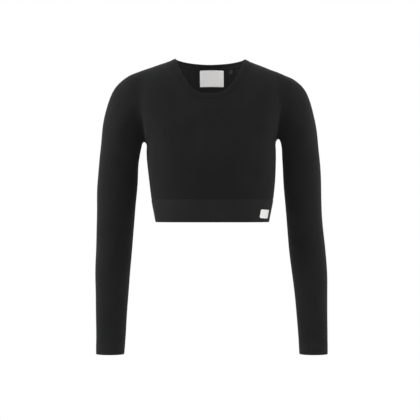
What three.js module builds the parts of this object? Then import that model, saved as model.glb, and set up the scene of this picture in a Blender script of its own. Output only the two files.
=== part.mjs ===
import * as THREE from 'three';

// A long-sleeve crop top filled out as if worn, hollow inside.
// Millimetres, Z up. The front faces -Y and the wearer's left is +X.
// Height 0 is the high shoulder point, beside the neck. Depth 0 holds the side and shoulder seams.

// Cloth and seams
const CLOTH = 1.2;
const TURNED_HEM = 2.0;
const BAND_PROUD = 0.5;
const BAND_THICK = 2.1;
const HALF_SEAM_GAP = 0.15;
const LAID_GAP = 0.5;
const LABEL_THICK = 1.0;

// Heights of the seams and edges
const HEM_SEAM = -302;
const HEM_EDGE = -349;
const CUFF_HEM = -611.5;
const CUFF_EDGE = -630.5;
const UNDERARM_START = -240;

// How many cells each piece has
const PANEL_COLUMNS = 28;
const SIDE_ROWS = 6;
const ARMHOLE_ROWS = 14;
const SHOULDER_ROWS = 6;
const SLEEVE_RINGS = 21;
const BAND_ROWS = 3;

// Body sections, a row per height
const BODY = columns('height centre halfWidth frontDepth backDepth squareness', [
  [-420, 2.2, 118.0, 88, 90, 2.9],
  [-349, 2.4, 121.8, 90, 90, 2.9],
  [-302, 2.8, 130.4, 97, 93, 2.8],
  [-259, 2.2, 135.2, 106, 96, 2.6],
  [-216, 1.0, 138.4, 112, 99, 2.5],
  [-185, 0.0, 139.6, 113, 100, 2.5],
  [-150, -1.0, 148.0, 110, 101, 2.5],
  [-100, -2.0, 162.0, 102, 99, 2.5],
  [-50, -2.0, 168.0, 94, 95, 2.5],
  [40, -2.0, 172.0, 90, 92, 2.5],
]);

// Sleeve sections on the wearer's right, a row per height
const RIGHT_ARM = columns('height outer inner middle halfDepth', [
  [-700, -244.5, -188.0, -34, 25],
  [-631, -245.0, -185.3, -22, 26],
  [-592, -245.5, -182.5, -15, 29],
  [-517, -247.5, -178.2, -3, 34.5],
  [-462, -249.0, -174.2, 4, 38],
  [-410, -247.8, -169.9, 8, 40],
  [-334, -246.0, -164.0, 9, 42],
  [-270, -245.0, -158.3, 7, 44],
  [-216, -240.6, -154.8, 5, 48],
  [-184, -238.4, -149.5, 4, 52],
  [-150, -238.0, -139.0, 3, 56],
  [-100, -238.0, -122.0, 3, 57],
  [-50, -236.0, -112.0, 3, 56],
  [40, -232.0, -100.0, 3, 54],
]);

// Sleeve sections on the wearer's left, a row per height
const LEFT_ARM = columns('height outer inner middle halfDepth', [
  [-700, 248.5, 191.0, -34, 25],
  [-631, 249.0, 189.0, -22, 26],
  [-592, 249.3, 186.6, -15, 29],
  [-517, 249.8, 181.0, -3, 34.5],
  [-462, 250.4, 174.6, 4, 38],
  [-410, 246.4, 168.0, 8, 40],
  [-334, 239.0, 162.2, 9, 42],
  [-270, 237.2, 156.6, 7, 44],
  [-216, 235.4, 153.8, 5, 48],
  [-184, 233.6, 152.0, 4, 52],
  [-150, 233.5, 142.5, 3, 56],
  [-100, 233.0, 124.0, 3, 57],
  [-50, 231.0, 114.0, 3, 56],
  [40, 228.0, 100.0, 3, 54],
]);

// The line of the shoulders seen from the front
const SHOULDERS = columns('across height', [
  [-275, -330], [-257, -215], [-246.5, -165], [-237, -130], [-227.5, -105], [-219, -85],
  [-208.5, -66], [-196, -50.5], [-180, -38], [-155, -27.5], [-110, -11.5], [-77, 0.8],
  [-66, 8], [-50, 17], [-30, 25], [-2, 29], [26, 25], [46, 16.5], [61.5, 7.5],
  [72.7, -0.2], [106, -14], [155, -33.5],
  [180, -45.5], [195, -58.5], [205, -72.5], [214, -92], [222, -113], [231.5, -140],
  [241, -175], [250, -220], [268, -330],
]);

// How fast the shoulders fall towards the front and the back
const SHOULDER_FALL = columns('across front back', [
  [0, 0.0158, 0.0092],
  [60, 0.0154, 0.0092],
  [90, 0.0125, 0.0092],
  [150, 0.0115, 0.0096],
  [215, 0.022, 0.021],
]);
const UNDERARM_BLEND = 14;
const SHOULDER_BLEND = 30;

// The neck edge seen from above
const NECK = { centre: -2.1, half: 74.8 };
const NECK_FRONT = { depth: 81.2, squareness: 2.35 };
const NECK_BACK = { depth: 62, squareness: 2.0 };
const NECKBAND_WIDE = 12;

// Where each armhole starts on the shoulder, and how far its middle is scooped towards the body
const SHOULDER_POINT = { right: -179, left: 178 };
const UNDERARM_POINT = { right: -144.0, left: 144.9 };
const SCOOP = { front: 11, back: 8 };

// Rings of the sleeve, given by their heights on the outer and inner side
const RINGS = columns('ring outer inner scoop', [
  [0, -38, -182, 1],
  [2, -64, -186, 0.75],
  [4, -98, -195, 0.4],
  [6, -145, -211, 0.12],
  [8, -200, -236, 0],
  [11, -294, -303, 0],
  [21, -610.5, -610.5, 0],
]);

// Labels and tags
const NECK_LABEL = { wide: 53, high: 39, across: 1.7 };
const SIZE_TAB = { wide: 8, high: 11, across: 45 };
const HEM_TAG = { wide: 28, high: 18.5, across: 114.6, height: -332.5, turn: -0.06 };

// Tables and soft joins

function columns(names, rows) {
  const table = {};
  names.split(' ').forEach((name, index) => {
    table[name] = rows.map((row) => row[index]);
  });
  table.key = table[names.split(' ')[0]];
  table.slopes = {};
  return table;
}

function slopesOf(keys, values) {
  const last = keys.length - 1;
  const steps = keys.slice(1).map((key, i) => (values[i + 1] - values[i]) / (key - keys[i]));
  return keys.map((key, i) => {
    if (i === 0) return steps[0];
    if (i === last) return steps[last - 1];
    const before = key - keys[i - 1];
    const after = keys[i + 1] - key;
    return (steps[i - 1] * after + steps[i] * before) / (before + after);
  });
}

// Reads a column of a table between its rows, along a smooth curve through them
function read(table, name, at) {
  const keys = table.key;
  const values = table[name];
  table.slopes[name] ??= slopesOf(keys, values);
  const slopes = table.slopes[name];
  const last = keys.length - 1;
  const key = Math.min(Math.max(at, keys[0]), keys[last]);
  let row = 0;
  while (row < last - 1 && key > keys[row + 1]) row += 1;
  const span = keys[row + 1] - keys[row];
  const u = (key - keys[row]) / span;
  const v = 1 - u;
  const ends = values[row] * (1 + 2 * u) * v * v + values[row + 1] * (1 + 2 * v) * u * u;
  const bends = slopes[row] * u * v * v - slopes[row + 1] * v * u * u;
  return ends + bends * span;
}

function softMax(a, b, blend) {
  const near = Math.max(blend - Math.abs(a - b), 0) / blend;
  return Math.max(a, b) + near * near * blend * 0.25;
}

function softMin(a, b, blend) {
  return -softMax(-a, -b, blend);
}

function mix(a, b, share) {
  return a + (b - a) * share;
}

// The worn form: negative inside, zero on the outer face of the cloth

function bodyForm(p) {
  const half = read(BODY, 'halfWidth', p.z);
  const front = read(BODY, 'frontDepth', p.z);
  const back = read(BODY, 'backDepth', p.z);
  const power = read(BODY, 'squareness', p.z);
  const across = Math.abs(p.x - read(BODY, 'centre', p.z)) / half;
  const along = Math.abs(p.y) / (p.y < 0 ? front : back);
  return ((across ** power + along ** power) ** (1 / power) - 1) * Math.min(half, front, back);
}

function armForm(table, p) {
  const outer = read(table, 'outer', p.z);
  const inner = read(table, 'inner', p.z);
  const half = Math.abs(outer - inner) / 2;
  const depth = read(table, 'halfDepth', p.z);
  const across = (p.x - (outer + inner) / 2) / half;
  const along = (p.y - read(table, 'middle', p.z)) / depth;
  return (Math.hypot(across, along) - 1) * Math.min(half, depth);
}

function shoulderForm(p) {
  const line = read(SHOULDERS, 'height', p.x);
  const slope = read(SHOULDERS, 'height', p.x + 0.5) - read(SHOULDERS, 'height', p.x - 0.5);
  const fall = read(SHOULDER_FALL, p.y < 0 ? 'front' : 'back', Math.abs(p.x));
  return (p.z - line + fall * p.y * p.y) / Math.hypot(1, slope, 2 * fall * p.y);
}

function form(p) {
  const arms = Math.min(armForm(RIGHT_ARM, p), armForm(LEFT_ARM, p));
  const below = softMin(bodyForm(p), arms, UNDERARM_BLEND);
  return softMax(below, shoulderForm(p), SHOULDER_BLEND);
}

function point(x, y, z) {
  return new THREE.Vector3(x, y, z);
}

function gradient(p) {
  const step = 0.2;
  const along = (axis) => {
    const ahead = p.clone();
    const behind = p.clone();
    ahead[axis] += step;
    behind[axis] -= step;
    return (form(ahead) - form(behind)) / (2 * step);
  };
  return point(along('x'), along('y'), along('z'));
}

function outward(p) {
  return gradient(p).normalize();
}

// Brings a point near the form on to it, keeping its depth if asked
function seat(guess, keepDepth = false) {
  const p = guess.clone();
  for (let i = 0; i < 12; i += 1) {
    const height = form(p);
    if (Math.abs(height) < 1e-5) break;
    const fall = gradient(p);
    if (keepDepth) fall.y = 0;
    p.addScaledVector(fall, -height / Math.max(fall.lengthSq(), 0.05));
  }
  return p;
}

// Goes along a straight line until it crosses the form, then halves the last step
function reach(start, direction) {
  const at = (distance) => start.clone().addScaledVector(direction, distance);
  const startsInside = form(start) < 0;
  let near = 0;
  let far = 0;
  for (let i = 0; i < 300 && (form(at(far)) < 0) === startsInside; i += 1) {
    near = far;
    far += Math.max(0.05, Math.abs(form(at(far))) * 0.5);
  }
  for (let i = 0; i < 22; i += 1) {
    const middle = (near + far) / 2;
    if ((form(at(middle)) < 0) === startsInside) near = middle;
    else far = middle;
  }
  return at((near + far) / 2);
}

// Walks over the form in short steps, turning with it
function walk(start, direction, distance) {
  const steps = Math.max(1, Math.ceil(distance / 3));
  let p = start;
  for (let i = 0; i < steps; i += 1) {
    const normal = outward(p);
    const heading = direction.clone().addScaledVector(normal, -direction.dot(normal)).normalize();
    p = seat(p.clone().addScaledVector(heading, distance / steps));
  }
  return p;
}

// Curves on the form

function signedPower(value, power) {
  return Math.sign(value) * Math.abs(value) ** power;
}

// A point of the body section at a height, for a direction seen from above
function bodyPoint(angle, height) {
  const half = read(BODY, 'halfWidth', height);
  const depth = read(BODY, Math.sin(angle) < 0 ? 'frontDepth' : 'backDepth', height);
  const power = read(BODY, 'squareness', height);
  const across = Math.abs(Math.cos(angle) / half) ** power;
  const along = Math.abs(Math.sin(angle) / depth) ** power;
  const radius = (across + along) ** (-1 / power);
  const centre = read(BODY, 'centre', height);
  return point(centre + radius * Math.cos(angle), radius * Math.sin(angle), height);
}

function neckPoint(angle) {
  const { depth, squareness } = Math.sin(angle) < 0 ? NECK_FRONT : NECK_BACK;
  const x = NECK.centre + NECK.half * signedPower(Math.cos(angle), 2 / squareness);
  const y = depth * signedPower(Math.sin(angle), 2 / squareness);
  return reach(point(x, y, 60), point(0, 0, -1));
}

// Angles that cut a half turn of a curve into equal lengths
function evenAngles(curve, from, to, count) {
  const fine = 160;
  const lengths = [0];
  let before = curve(from);
  for (let i = 1; i <= fine; i += 1) {
    const here = curve(mix(from, to, i / fine));
    lengths.push(lengths[i - 1] + here.distanceTo(before));
    before = here;
  }
  const angles = [];
  let step = 0;
  for (let i = 0; i <= count; i += 1) {
    const wanted = (lengths[fine] * i) / count;
    while (step < fine - 1 && lengths[step + 1] < wanted) step += 1;
    const share = (wanted - lengths[step]) / (lengths[step + 1] - lengths[step]);
    angles.push(mix(from, to, (step + share) / fine));
  }
  return angles;
}

// A whole turn, from the wearer's right by the front to the left and back
function turnOf(curve) {
  const front = evenAngles(curve, Math.PI, 2 * Math.PI, PANEL_COLUMNS);
  const back = evenAngles(curve, 0, Math.PI, PANEL_COLUMNS);
  return [...front.slice(0, -1), ...back.slice(0, -1)];
}

// The rows of the neckband, from the neck edge out to its seam
function neckbandRows() {
  const edge = turnOf(neckPoint).map(neckPoint);
  const rows = [edge];
  for (let row = 1; row <= BAND_ROWS; row += 1) {
    const last = rows[row - 1];
    const next = last.map((p, i) => {
      const ahead = last[(i + 1) % last.length];
      const behind = last[(i + last.length - 1) % last.length];
      const along = ahead.clone().sub(behind);
      const away = along.cross(outward(p)).normalize();
      return walk(p, away, NECKBAND_WIDE / BAND_ROWS);
    });
    rows.push(next);
  }
  return rows;
}

function hemRows() {
  const angles = turnOf((angle) => bodyPoint(angle, HEM_SEAM));
  const rows = [];
  for (let row = 0; row <= BAND_ROWS; row += 1) {
    const height = mix(HEM_SEAM, HEM_EDGE, row / BAND_ROWS);
    rows.push(angles.map((angle) => bodyPoint(angle, height)));
  }
  return rows;
}

// Splits a closed row of points into its front and back halves, both from right to left
function halves(row) {
  const front = row.slice(0, PANEL_COLUMNS + 1);
  const back = [row[0], ...row.slice(PANEL_COLUMNS).reverse()];
  return { front, back };
}

function underarm(across) {
  return reach(point(across, 0, UNDERARM_START), point(0, 0, 1));
}

function armHeart(arm, height) {
  const middle = (read(arm, 'outer', height) + read(arm, 'inner', height)) / 2;
  return point(Math.sign(middle) * Math.max(Math.abs(middle), 165), 0, height);
}

// One ring of a sleeve, from the underarm by the front and the outer side back to the underarm
function sleeveRing(arm, side, outerHeight, innerHeight, scoop, low) {
  const outer = reach(armHeart(arm, outerHeight), point(side, 0, 0));
  const inner = low ?? reach(armHeart(arm, innerHeight), point(-side, 0, 0));
  const heart = outer.clone().add(inner).multiplyScalar(0.5);
  const flat = mix(0, 1, Math.min(1, Math.max(0, (-230 - innerHeight) / 120)));
  heart.y = read(arm, 'middle', heart.z) * flat;
  const long = outer.clone().sub(inner);
  long.y = 0;
  long.normalize();
  const deep = point(0, -1, 0);
  const bodyward = point(-side * Math.abs(long.z), 0, side * long.x * Math.sign(long.z));
  const ring = [];
  for (let i = 0; i < 2 * ARMHOLE_ROWS; i += 1) {
    const turn = (Math.PI * i) / ARMHOLE_ROWS;
    const towards = long.clone().multiplyScalar(-Math.cos(turn));
    towards.addScaledVector(deep, Math.sin(turn));
    const amount = (turn < Math.PI ? SCOOP.front : SCOOP.back) * scoop * Math.sin(turn) ** 2;
    ring.push(reach(heart.clone().addScaledVector(bodyward, amount), towards));
  }
  return ring;
}

function sleeveRows(arm, side, shoulderHeight) {
  const low = underarm(side < 0 ? UNDERARM_POINT.right : UNDERARM_POINT.left);
  const rows = [];
  for (let ring = 0; ring <= SLEEVE_RINGS; ring += 1) {
    const start = shoulderHeight - RINGS.outer[0];
    const outer = read(RINGS, 'outer', ring) + start * Math.max(0, 1 - ring / 4);
    const inner = read(RINGS, 'inner', ring) + (low.z - RINGS.inner[0]) * Math.max(0, 1 - ring / 8);
    const scoop = read(RINGS, 'scoop', ring);
    rows.push(sleeveRing(arm, side, outer, inner, scoop, ring === 0 ? low : null));
  }
  rows.push(sleeveRing(arm, side, CUFF_HEM, CUFF_HEM, 0, null));
  rows.push(sleeveRing(arm, side, CUFF_EDGE, CUFF_EDGE, 0, null));
  return rows;
}

// Points of a seam between two ends, on the form and in the plane of the seams
function seam(from, to, count) {
  const points = [];
  for (let i = 0; i <= count; i += 1) {
    points.push(seat(from.clone().lerp(to, i / count), true));
  }
  return points;
}

// The edge of a panel on one side: side seam, armhole, shoulder seam
function panelEdge(hemEnd, ring, neckEnd, isFront) {
  const armhole = [];
  for (let i = 0; i <= ARMHOLE_ROWS; i += 1) {
    armhole.push(ring[isFront ? i : (ring.length - i) % ring.length]);
  }
  const side = seam(hemEnd, armhole[0], SIDE_ROWS).slice(0, -1);
  const shoulder = seam(armhole[ARMHOLE_ROWS], neckEnd, SHOULDER_ROWS).slice(1, -1);
  return [hemEnd, ...side.slice(1), ...armhole, ...shoulder, neckEnd];
}

// Fills a panel between its four edges and seats it on the form
function panelRows(bottom, top, right, left) {
  const last = right.length - 1;
  return right.map((rightEnd, row) => {
    if (row === 0) return bottom;
    if (row === last) return top;
    const up = row / last;
    return bottom.map((low, column) => {
      if (column === 0) return rightEnd;
      if (column === PANEL_COLUMNS) return left[row];
      const over = column / PANEL_COLUMNS;
      const guess = rightEnd.clone().lerp(left[row], over);
      const lowBulge = low.clone().sub(bottom[0].clone().lerp(bottom[PANEL_COLUMNS], over));
      const topBulge = top[column].clone().sub(top[0].clone().lerp(top[PANEL_COLUMNS], over));
      guess.addScaledVector(lowBulge, 1 - up).addScaledVector(topBulge, up);
      return seat(guess);
    });
  });
}

// Shells

// How far an edge point moves so that both lengths of edge beside it move in by half of the gap
function inset(before, p, after, inwards) {
  const normal = outward(p);
  const sides = [[before, p], [p, after]]
    .filter(([from, to]) => from.distanceTo(to) > 1e-6)
    .map(([from, to]) => to.clone().sub(from).cross(normal).normalize());
  const first = sides[0];
  const last = sides[sides.length - 1];
  const across = first.clone().add(last).divideScalar(1 + first.dot(last));
  return across.multiplyScalar(Math.sign(across.dot(inwards.clone().sub(p))) * HALF_SEAM_GAP);
}

// Draws the open edges of a grid in by half of the seam gap, along the form
function drawnIn(rows, wraps) {
  const count = rows[0].length;
  const lastRow = rows.length - 1;
  const lastColumn = count - 1;
  const at = (row, column) => {
    const safeRow = Math.min(Math.max(row, 0), lastRow);
    const wrapped = (column + count) % count;
    return rows[safeRow][wraps ? wrapped : Math.min(Math.max(column, 0), lastColumn)];
  };
  return rows.map((line, row) => line.map((p, column) => {
    const moved = p.clone();
    if (row === 0 || row === lastRow) {
      const inwards = at(row === 0 ? 1 : lastRow - 1, column);
      moved.add(inset(at(row, column - 1), p, at(row, column + 1), inwards));
    }
    if (!wraps && (column === 0 || column === lastColumn)) {
      const inwards = at(row, column === 0 ? 1 : lastColumn - 1);
      moved.add(inset(at(row - 1, column), p, at(row + 1, column), inwards));
    }
    return moved;
  }));
}

// Moves every point of a grid off the form, by a distance that may change from row to row
function offset(rows, distance) {
  return rows.map((line, row) => line.map((p) => {
    const amount = typeof distance === 'function' ? distance(row) : distance;
    return p.clone().addScaledVector(outward(p), amount);
  }));
}

function volumeOf(positions, triangles) {
  let sum = 0;
  const [a, b, c] = [point(0, 0, 0), point(0, 0, 0), point(0, 0, 0)];
  for (let i = 0; i < triangles.length; i += 3) {
    a.fromArray(positions, triangles[i] * 3);
    b.fromArray(positions, triangles[i + 1] * 3);
    c.fromArray(positions, triangles[i + 2] * 3);
    sum += a.dot(b.cross(c)) / 6;
  }
  return sum;
}

// Closes two matching grids into one solid wall
function wallBetween(outer, inner, wraps) {
  const rowCount = outer.length;
  const columnCount = outer[0].length;
  const positions = [...outer.flat(), ...inner.flat()].flatMap((p) => p.toArray());
  const innerStart = rowCount * columnCount;
  const index = (row, column, side) => side * innerStart + row * columnCount + (column % columnCount);
  const triangles = [];
  const cells = wraps ? columnCount : columnCount - 1;
  for (let row = 0; row < rowCount - 1; row += 1) {
    for (let column = 0; column < cells; column += 1) {
      const next = (column + 1) % columnCount;
      const rising = outer[row][column].distanceTo(outer[row + 1][next]);
      const falling = outer[row + 1][column].distanceTo(outer[row][next]);
      [0, 1].forEach((side) => {
        const a = index(row, column, side);
        const b = index(row, next, side);
        const c = index(row + 1, next, side);
        const d = index(row + 1, column, side);
        const faces = rising < falling ? [a, b, c, a, c, d] : [a, b, d, b, c, d];
        triangles.push(...(side === 0 ? faces : faces.reverse()));
      });
    }
  }
  const rim = (a, b, c, d) => triangles.push(a, b, c, a, c, d);
  for (let column = 0; column < cells; column += 1) {
    const next = (column + 1) % columnCount;
    const last = rowCount - 1;
    rim(index(0, next, 0), index(0, column, 0), index(0, column, 1), index(0, next, 1));
    rim(index(last, column, 0), index(last, next, 0), index(last, next, 1), index(last, column, 1));
  }
  if (!wraps) {
    for (let row = 0; row < rowCount - 1; row += 1) {
      const last = columnCount - 1;
      rim(index(row, 0, 0), index(row + 1, 0, 0), index(row + 1, 0, 1), index(row, 0, 1));
      rim(index(row + 1, last, 0), index(row, last, 0), index(row, last, 1), index(row + 1, last, 1));
    }
  }
  if (volumeOf(positions, triangles) < 0) triangles.reverse();
  const geometry = new THREE.BufferGeometry();
  geometry.setAttribute('position', new THREE.Float32BufferAttribute(positions, 3));
  geometry.setIndex(triangles);
  geometry.computeVertexNormals();
  return geometry;
}

// A small flat piece that lies along the form, hung from its top middle
function laidRows(topMiddle, wide, high, turn, cellsAcross, cellsDown) {
  const normal = outward(topMiddle);
  const down = point(Math.sin(turn), 0, -Math.cos(turn));
  down.addScaledVector(normal, -down.dot(normal)).normalize();
  const sideways = normal.clone().cross(down).normalize();
  const rows = [];
  for (let row = 0; row <= cellsDown; row += 1) {
    const middle = row === 0 ? topMiddle : walk(topMiddle, down, (high * row) / cellsDown);
    rows.push(Array.from({ length: cellsAcross + 1 }, (_, column) => {
      const distance = wide * (column / cellsAcross - 0.5);
      const heading = sideways.clone().multiplyScalar(Math.sign(distance));
      return Math.abs(distance) < 1e-6 ? middle : walk(middle, heading, Math.abs(distance));
    }));
  }
  return rows;
}

// The pieces

const cloth = new THREE.MeshStandardMaterial({ color: 0x242425, roughness: 0.9, metalness: 0 });
const whiteTape = new THREE.MeshStandardMaterial({ color: 0xe6e6e6, roughness: 0.8, metalness: 0 });
const darkTape = new THREE.MeshStandardMaterial({ color: 0x3c3c3e, roughness: 0.8, metalness: 0 });

function piece(name, geometry, material) {
  const mesh = new THREE.Mesh(geometry, material);
  mesh.name = name;
  return mesh;
}

function clothPiece(name, rows, wraps) {
  const trimmed = drawnIn(rows, wraps);
  return piece(name, wallBetween(trimmed, offset(trimmed, -CLOTH), wraps), cloth);
}

function sleevePiece(name, rows) {
  const trimmed = drawnIn(rows, true);
  const inside = offset(trimmed, (row) => (row > SLEEVE_RINGS ? -TURNED_HEM : -CLOTH));
  return piece(name, wallBetween(trimmed, inside, true), cloth);
}

function bandPiece(name, rows) {
  const trimmed = drawnIn(rows, true);
  const outside = offset(trimmed, BAND_PROUD);
  return piece(name, wallBetween(outside, offset(trimmed, BAND_PROUD - BAND_THICK), true), cloth);
}

function laidPiece(name, rows, low, high, material) {
  return piece(name, wallBetween(offset(rows, high), offset(rows, low), false), material);
}

function backNeckSeamAt(row, across) {
  const back = halves(row).back;
  let i = 1;
  while (i < back.length - 1 && back[i].x < across) i += 1;
  const share = (across - back[i - 1].x) / (back[i].x - back[i - 1].x);
  return seat(back[i - 1].clone().lerp(back[i], share));
}

function cropTop() {
  const neckRows = neckbandRows();
  const neckSeam = neckRows[BAND_ROWS];
  const hem = hemRows();
  const shoulder = (x) => reach(point(x, 0, 60), point(0, 0, -1)).z;
  const rightSleeve = sleeveRows(RIGHT_ARM, -1, shoulder(SHOULDER_POINT.right));
  const leftSleeve = sleeveRows(LEFT_ARM, 1, shoulder(SHOULDER_POINT.left));
  const neckHalves = halves(neckSeam);
  const hemHalves = halves(hem[0]);
  const panel = (isFront) => {
    const bottom = isFront ? hemHalves.front : hemHalves.back;
    const top = isFront ? neckHalves.front : neckHalves.back;
    const right = panelEdge(bottom[0], rightSleeve[0], top[0], isFront);
    const left = panelEdge(bottom[PANEL_COLUMNS], leftSleeve[0], top[PANEL_COLUMNS], isFront);
    return panelRows(bottom, top, right, left);
  };
  const inside = -(CLOTH + LAID_GAP);
  const labelTop = walk(backNeckSeamAt(neckSeam, NECK_LABEL.across), point(0, 0, -1), 1);
  const tabTop = walk(backNeckSeamAt(neckSeam, SIZE_TAB.across), point(0, 0, -1), 1);
  const tagTop = reach(point(HEM_TAG.across, -150, HEM_TAG.height + HEM_TAG.high / 2), point(0, 1, 0));
  const labelRows = laidRows(labelTop, NECK_LABEL.wide, NECK_LABEL.high, 0, 6, 5);
  const tabRows = laidRows(tabTop, SIZE_TAB.wide, SIZE_TAB.high, 0, 2, 2);
  const tagRows = laidRows(tagTop, HEM_TAG.wide, HEM_TAG.high, HEM_TAG.turn, 6, 3);
  const tagNear = BAND_PROUD + LAID_GAP;

  const group = new THREE.Group();
  group.name = 'crop_top';
  group.add(clothPiece('front_panel', panel(true), false));
  group.add(clothPiece('back_panel', panel(false), false));
  group.add(sleevePiece('sleeve_left', leftSleeve));
  group.add(sleevePiece('sleeve_right', rightSleeve));
  group.add(bandPiece('neckband', neckRows));
  group.add(bandPiece('hem_band', hem));
  group.add(laidPiece('neck_label', labelRows, inside - LABEL_THICK, inside, whiteTape));
  group.add(laidPiece('size_tab', tabRows, inside - LABEL_THICK, inside, darkTape));
  group.add(laidPiece('hem_tag', tagRows, tagNear, tagNear + LABEL_THICK, whiteTape));
  return group;
}

export default cropTop();
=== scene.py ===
import math

import bpy
import numpy as np
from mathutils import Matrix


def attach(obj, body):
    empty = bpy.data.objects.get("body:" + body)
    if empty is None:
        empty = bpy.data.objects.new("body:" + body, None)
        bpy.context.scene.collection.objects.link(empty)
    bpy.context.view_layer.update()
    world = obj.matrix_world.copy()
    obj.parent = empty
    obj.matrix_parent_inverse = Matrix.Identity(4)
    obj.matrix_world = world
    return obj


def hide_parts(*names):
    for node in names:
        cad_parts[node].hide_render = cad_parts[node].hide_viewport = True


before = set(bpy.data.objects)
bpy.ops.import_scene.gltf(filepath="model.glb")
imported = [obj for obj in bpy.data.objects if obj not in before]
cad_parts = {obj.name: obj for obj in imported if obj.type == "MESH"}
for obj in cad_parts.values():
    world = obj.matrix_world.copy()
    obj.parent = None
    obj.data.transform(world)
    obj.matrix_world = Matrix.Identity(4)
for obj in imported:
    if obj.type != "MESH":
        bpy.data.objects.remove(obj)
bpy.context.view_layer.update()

# A long-sleeve crop top in fine black knit, filled out as if worn.
# The shapes are worked out in millimetres and become metres in the mesh.
# The front faces -Y, the wearer's left is +X, and height 0 is the high shoulder point.

# Cloth and seams
CLOTH = 1.2
TURNED_HEM = 2.0
BAND_PROUD = 0.5
BAND_THICK = 2.1
SEAM_INSET = 0.02
NECKBAND_WIDE = 12

# Heights of the seams and edges, and a height well above the shoulders
HEM_SEAM = -302
HEM_EDGE = -349
CUFF_HEM = -611.5
CUFF_EDGE = -630.5
UNDERARM_START = -240
ABOVE_ALL = 60.0

# Cells across a panel and up its side seam, armhole and shoulder seam, at a sleeve's armhole,
# down its arm, above its hem and on it, and across the bands
PANEL_COLUMNS = 128
SIDE_ROWS = 36
ARMHOLE_ROWS = 64
SHOULDER_ROWS = 36
SLEEVE_ROWS = (24, 129, 13, 23)
NECKBAND_ROWS = 16
HEM_BAND_ROWS = 24

# Cells across and down each label and tag
LABEL_CELLS = (72, 40)
TAB_CELLS = (12, 14)
TAG_CELLS = (40, 28)

# The shares of a panel's height in its patch: side seam, armhole and shoulder seam
FRAME_ROWS = (6, 14, 6)

# How much the cells crowd towards the seams
COLUMN_CROWD = 0.72
ARMHOLE_CROWD = 0.6
SHOULDER_CROWD = 0.7
HEM_BAND_CROWD = 0.6

# Stitches, and the twin rows' distances from the neck seam and heights on the cuffs
STITCH_PITCH = 3.1
STITCH_LONG = 2.5
STITCH_THICK = 0.42
NECK_STITCH_ROWS = (1.8, 6.2)
CUFF_STITCH_ROWS = (-611.0, -606.6)

# Overlocked seams: thickness, pitch, length and lean in degrees
OVERLOCK = (0.4, 1.9, 4.2, 62)

# Labels and tags: width and height
LABEL_SIZE = (53, 39)
TAB_SIZE = (7, 11)
TAG_SIZE = (29, 18.5)

UP = np.array([0.0, 0.0, 1.0])
ACROSS = np.array([1.0, 0.0, 0.0])
TO_FRONT = np.array([0.0, -1.0, 0.0])


# Tables that are read as smooth curves

# How finely a column is worked out: readings to the millimetre, over at least this length
READINGS_PER_MM = 2
SHORTEST_COLUMN = 400


def slopes(keys, values):
    """Slope at each key: the steps on both sides, each weighed by the length of the other."""
    spans = np.diff(keys)
    steps = np.diff(values) / spans
    inner = (steps[:-1] * spans[1:] + steps[1:] * spans[:-1]) / (spans[:-1] + spans[1:])
    return np.concatenate([steps[:1], inner, steps[-1:]])


def smooth_column(keys, values):
    """A fine table of a column: a cubic between two rows keeps the value and slope of each."""
    slope = slopes(keys, values)
    long = max(keys[-1] - keys[0], SHORTEST_COLUMN)
    key = np.linspace(keys[0], keys[-1], 1 + READINGS_PER_MM * math.ceil(long))
    row = np.clip(np.searchsorted(keys, key, side="right") - 1, 0, len(keys) - 2)
    span = keys[row + 1] - keys[row]
    u = (key - keys[row]) / span
    v = 1 - u
    ends = values[row] * (1 + 2 * u) * v * v + values[row + 1] * (1 + 2 * v) * u * u
    bends = slope[row] * u * v * v - slope[row + 1] * v * u * u
    return key, ends + bends * span


def table(names, rows):
    """The named columns of a table, each as a smooth one."""
    data = np.array(rows, float)
    return {name: smooth_column(data[:, 0], data[:, i]) for i, name in enumerate(names.split())}


def read(column, at):
    """The column's value at a key, in a straight line between its fine rows."""
    return np.interp(at, *column)


BODY = table("height centre half front back power", [
    [-420, 2.2, 118.0, 88, 90, 2.9],
    [-349, 2.4, 121.8, 90, 90, 2.9],
    [-302, 2.8, 130.4, 97, 93, 2.8],
    [-259, 2.2, 135.2, 106, 96, 2.6],
    [-216, 1.0, 138.4, 112, 99, 2.5],
    [-185, 0.0, 139.6, 113, 100, 2.5],
    [-150, -1.0, 148.0, 110, 101, 2.5],
    [-100, -2.0, 162.0, 102, 99, 2.5],
    [-50, -2.0, 168.0, 94, 95, 2.5],
    [40, -2.0, 172.0, 90, 92, 2.5],
])

ARMS = table("height right_outer right_inner left_outer left_inner middle deep", [
    [-700, -244.5, -188.0, 248.5, 191.0, -34, 25],
    [-631, -245.0, -185.3, 249.0, 189.0, -22, 26],
    [-592, -245.5, -182.5, 249.3, 186.6, -15, 29],
    [-517, -247.5, -178.2, 249.8, 181.0, -3, 34.5],
    [-462, -249.0, -174.2, 250.4, 174.6, 4, 38],
    [-410, -247.8, -169.9, 246.4, 168.0, 8, 40],
    [-334, -246.0, -164.0, 239.0, 162.2, 9, 42],
    [-270, -245.0, -158.3, 237.2, 156.6, 7, 44],
    [-216, -240.6, -154.8, 235.4, 153.8, 5, 48],
    [-184, -238.4, -149.5, 233.6, 152.0, 4, 52],
    [-150, -238.0, -139.0, 233.5, 142.5, 3, 56],
    [-100, -238.0, -122.0, 233.0, 124.0, 3, 57],
    [-50, -236.0, -112.0, 231.0, 114.0, 3, 56],
    [40, -232.0, -100.0, 228.0, 100.0, 3, 54],
])

SHOULDERS = table("across height", [
    [-275, -330], [-257, -215], [-246.5, -165], [-237, -130], [-227.5, -105], [-219, -85],
    [-208.5, -66], [-196, -50.5], [-180, -38], [-155, -27.5], [-110, -11.5], [-77, 0.8],
    [-66, 8], [-50, 17], [-30, 25], [-2, 29], [26, 25], [46, 16.5], [61.5, 7.5],
    [72.7, -0.2], [106, -14], [155, -33.5],
    [180, -45.5], [195, -58.5], [205, -72.5], [214, -92], [222, -113], [231.5, -140],
    [241, -175], [250, -220], [268, -330],
])

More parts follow.
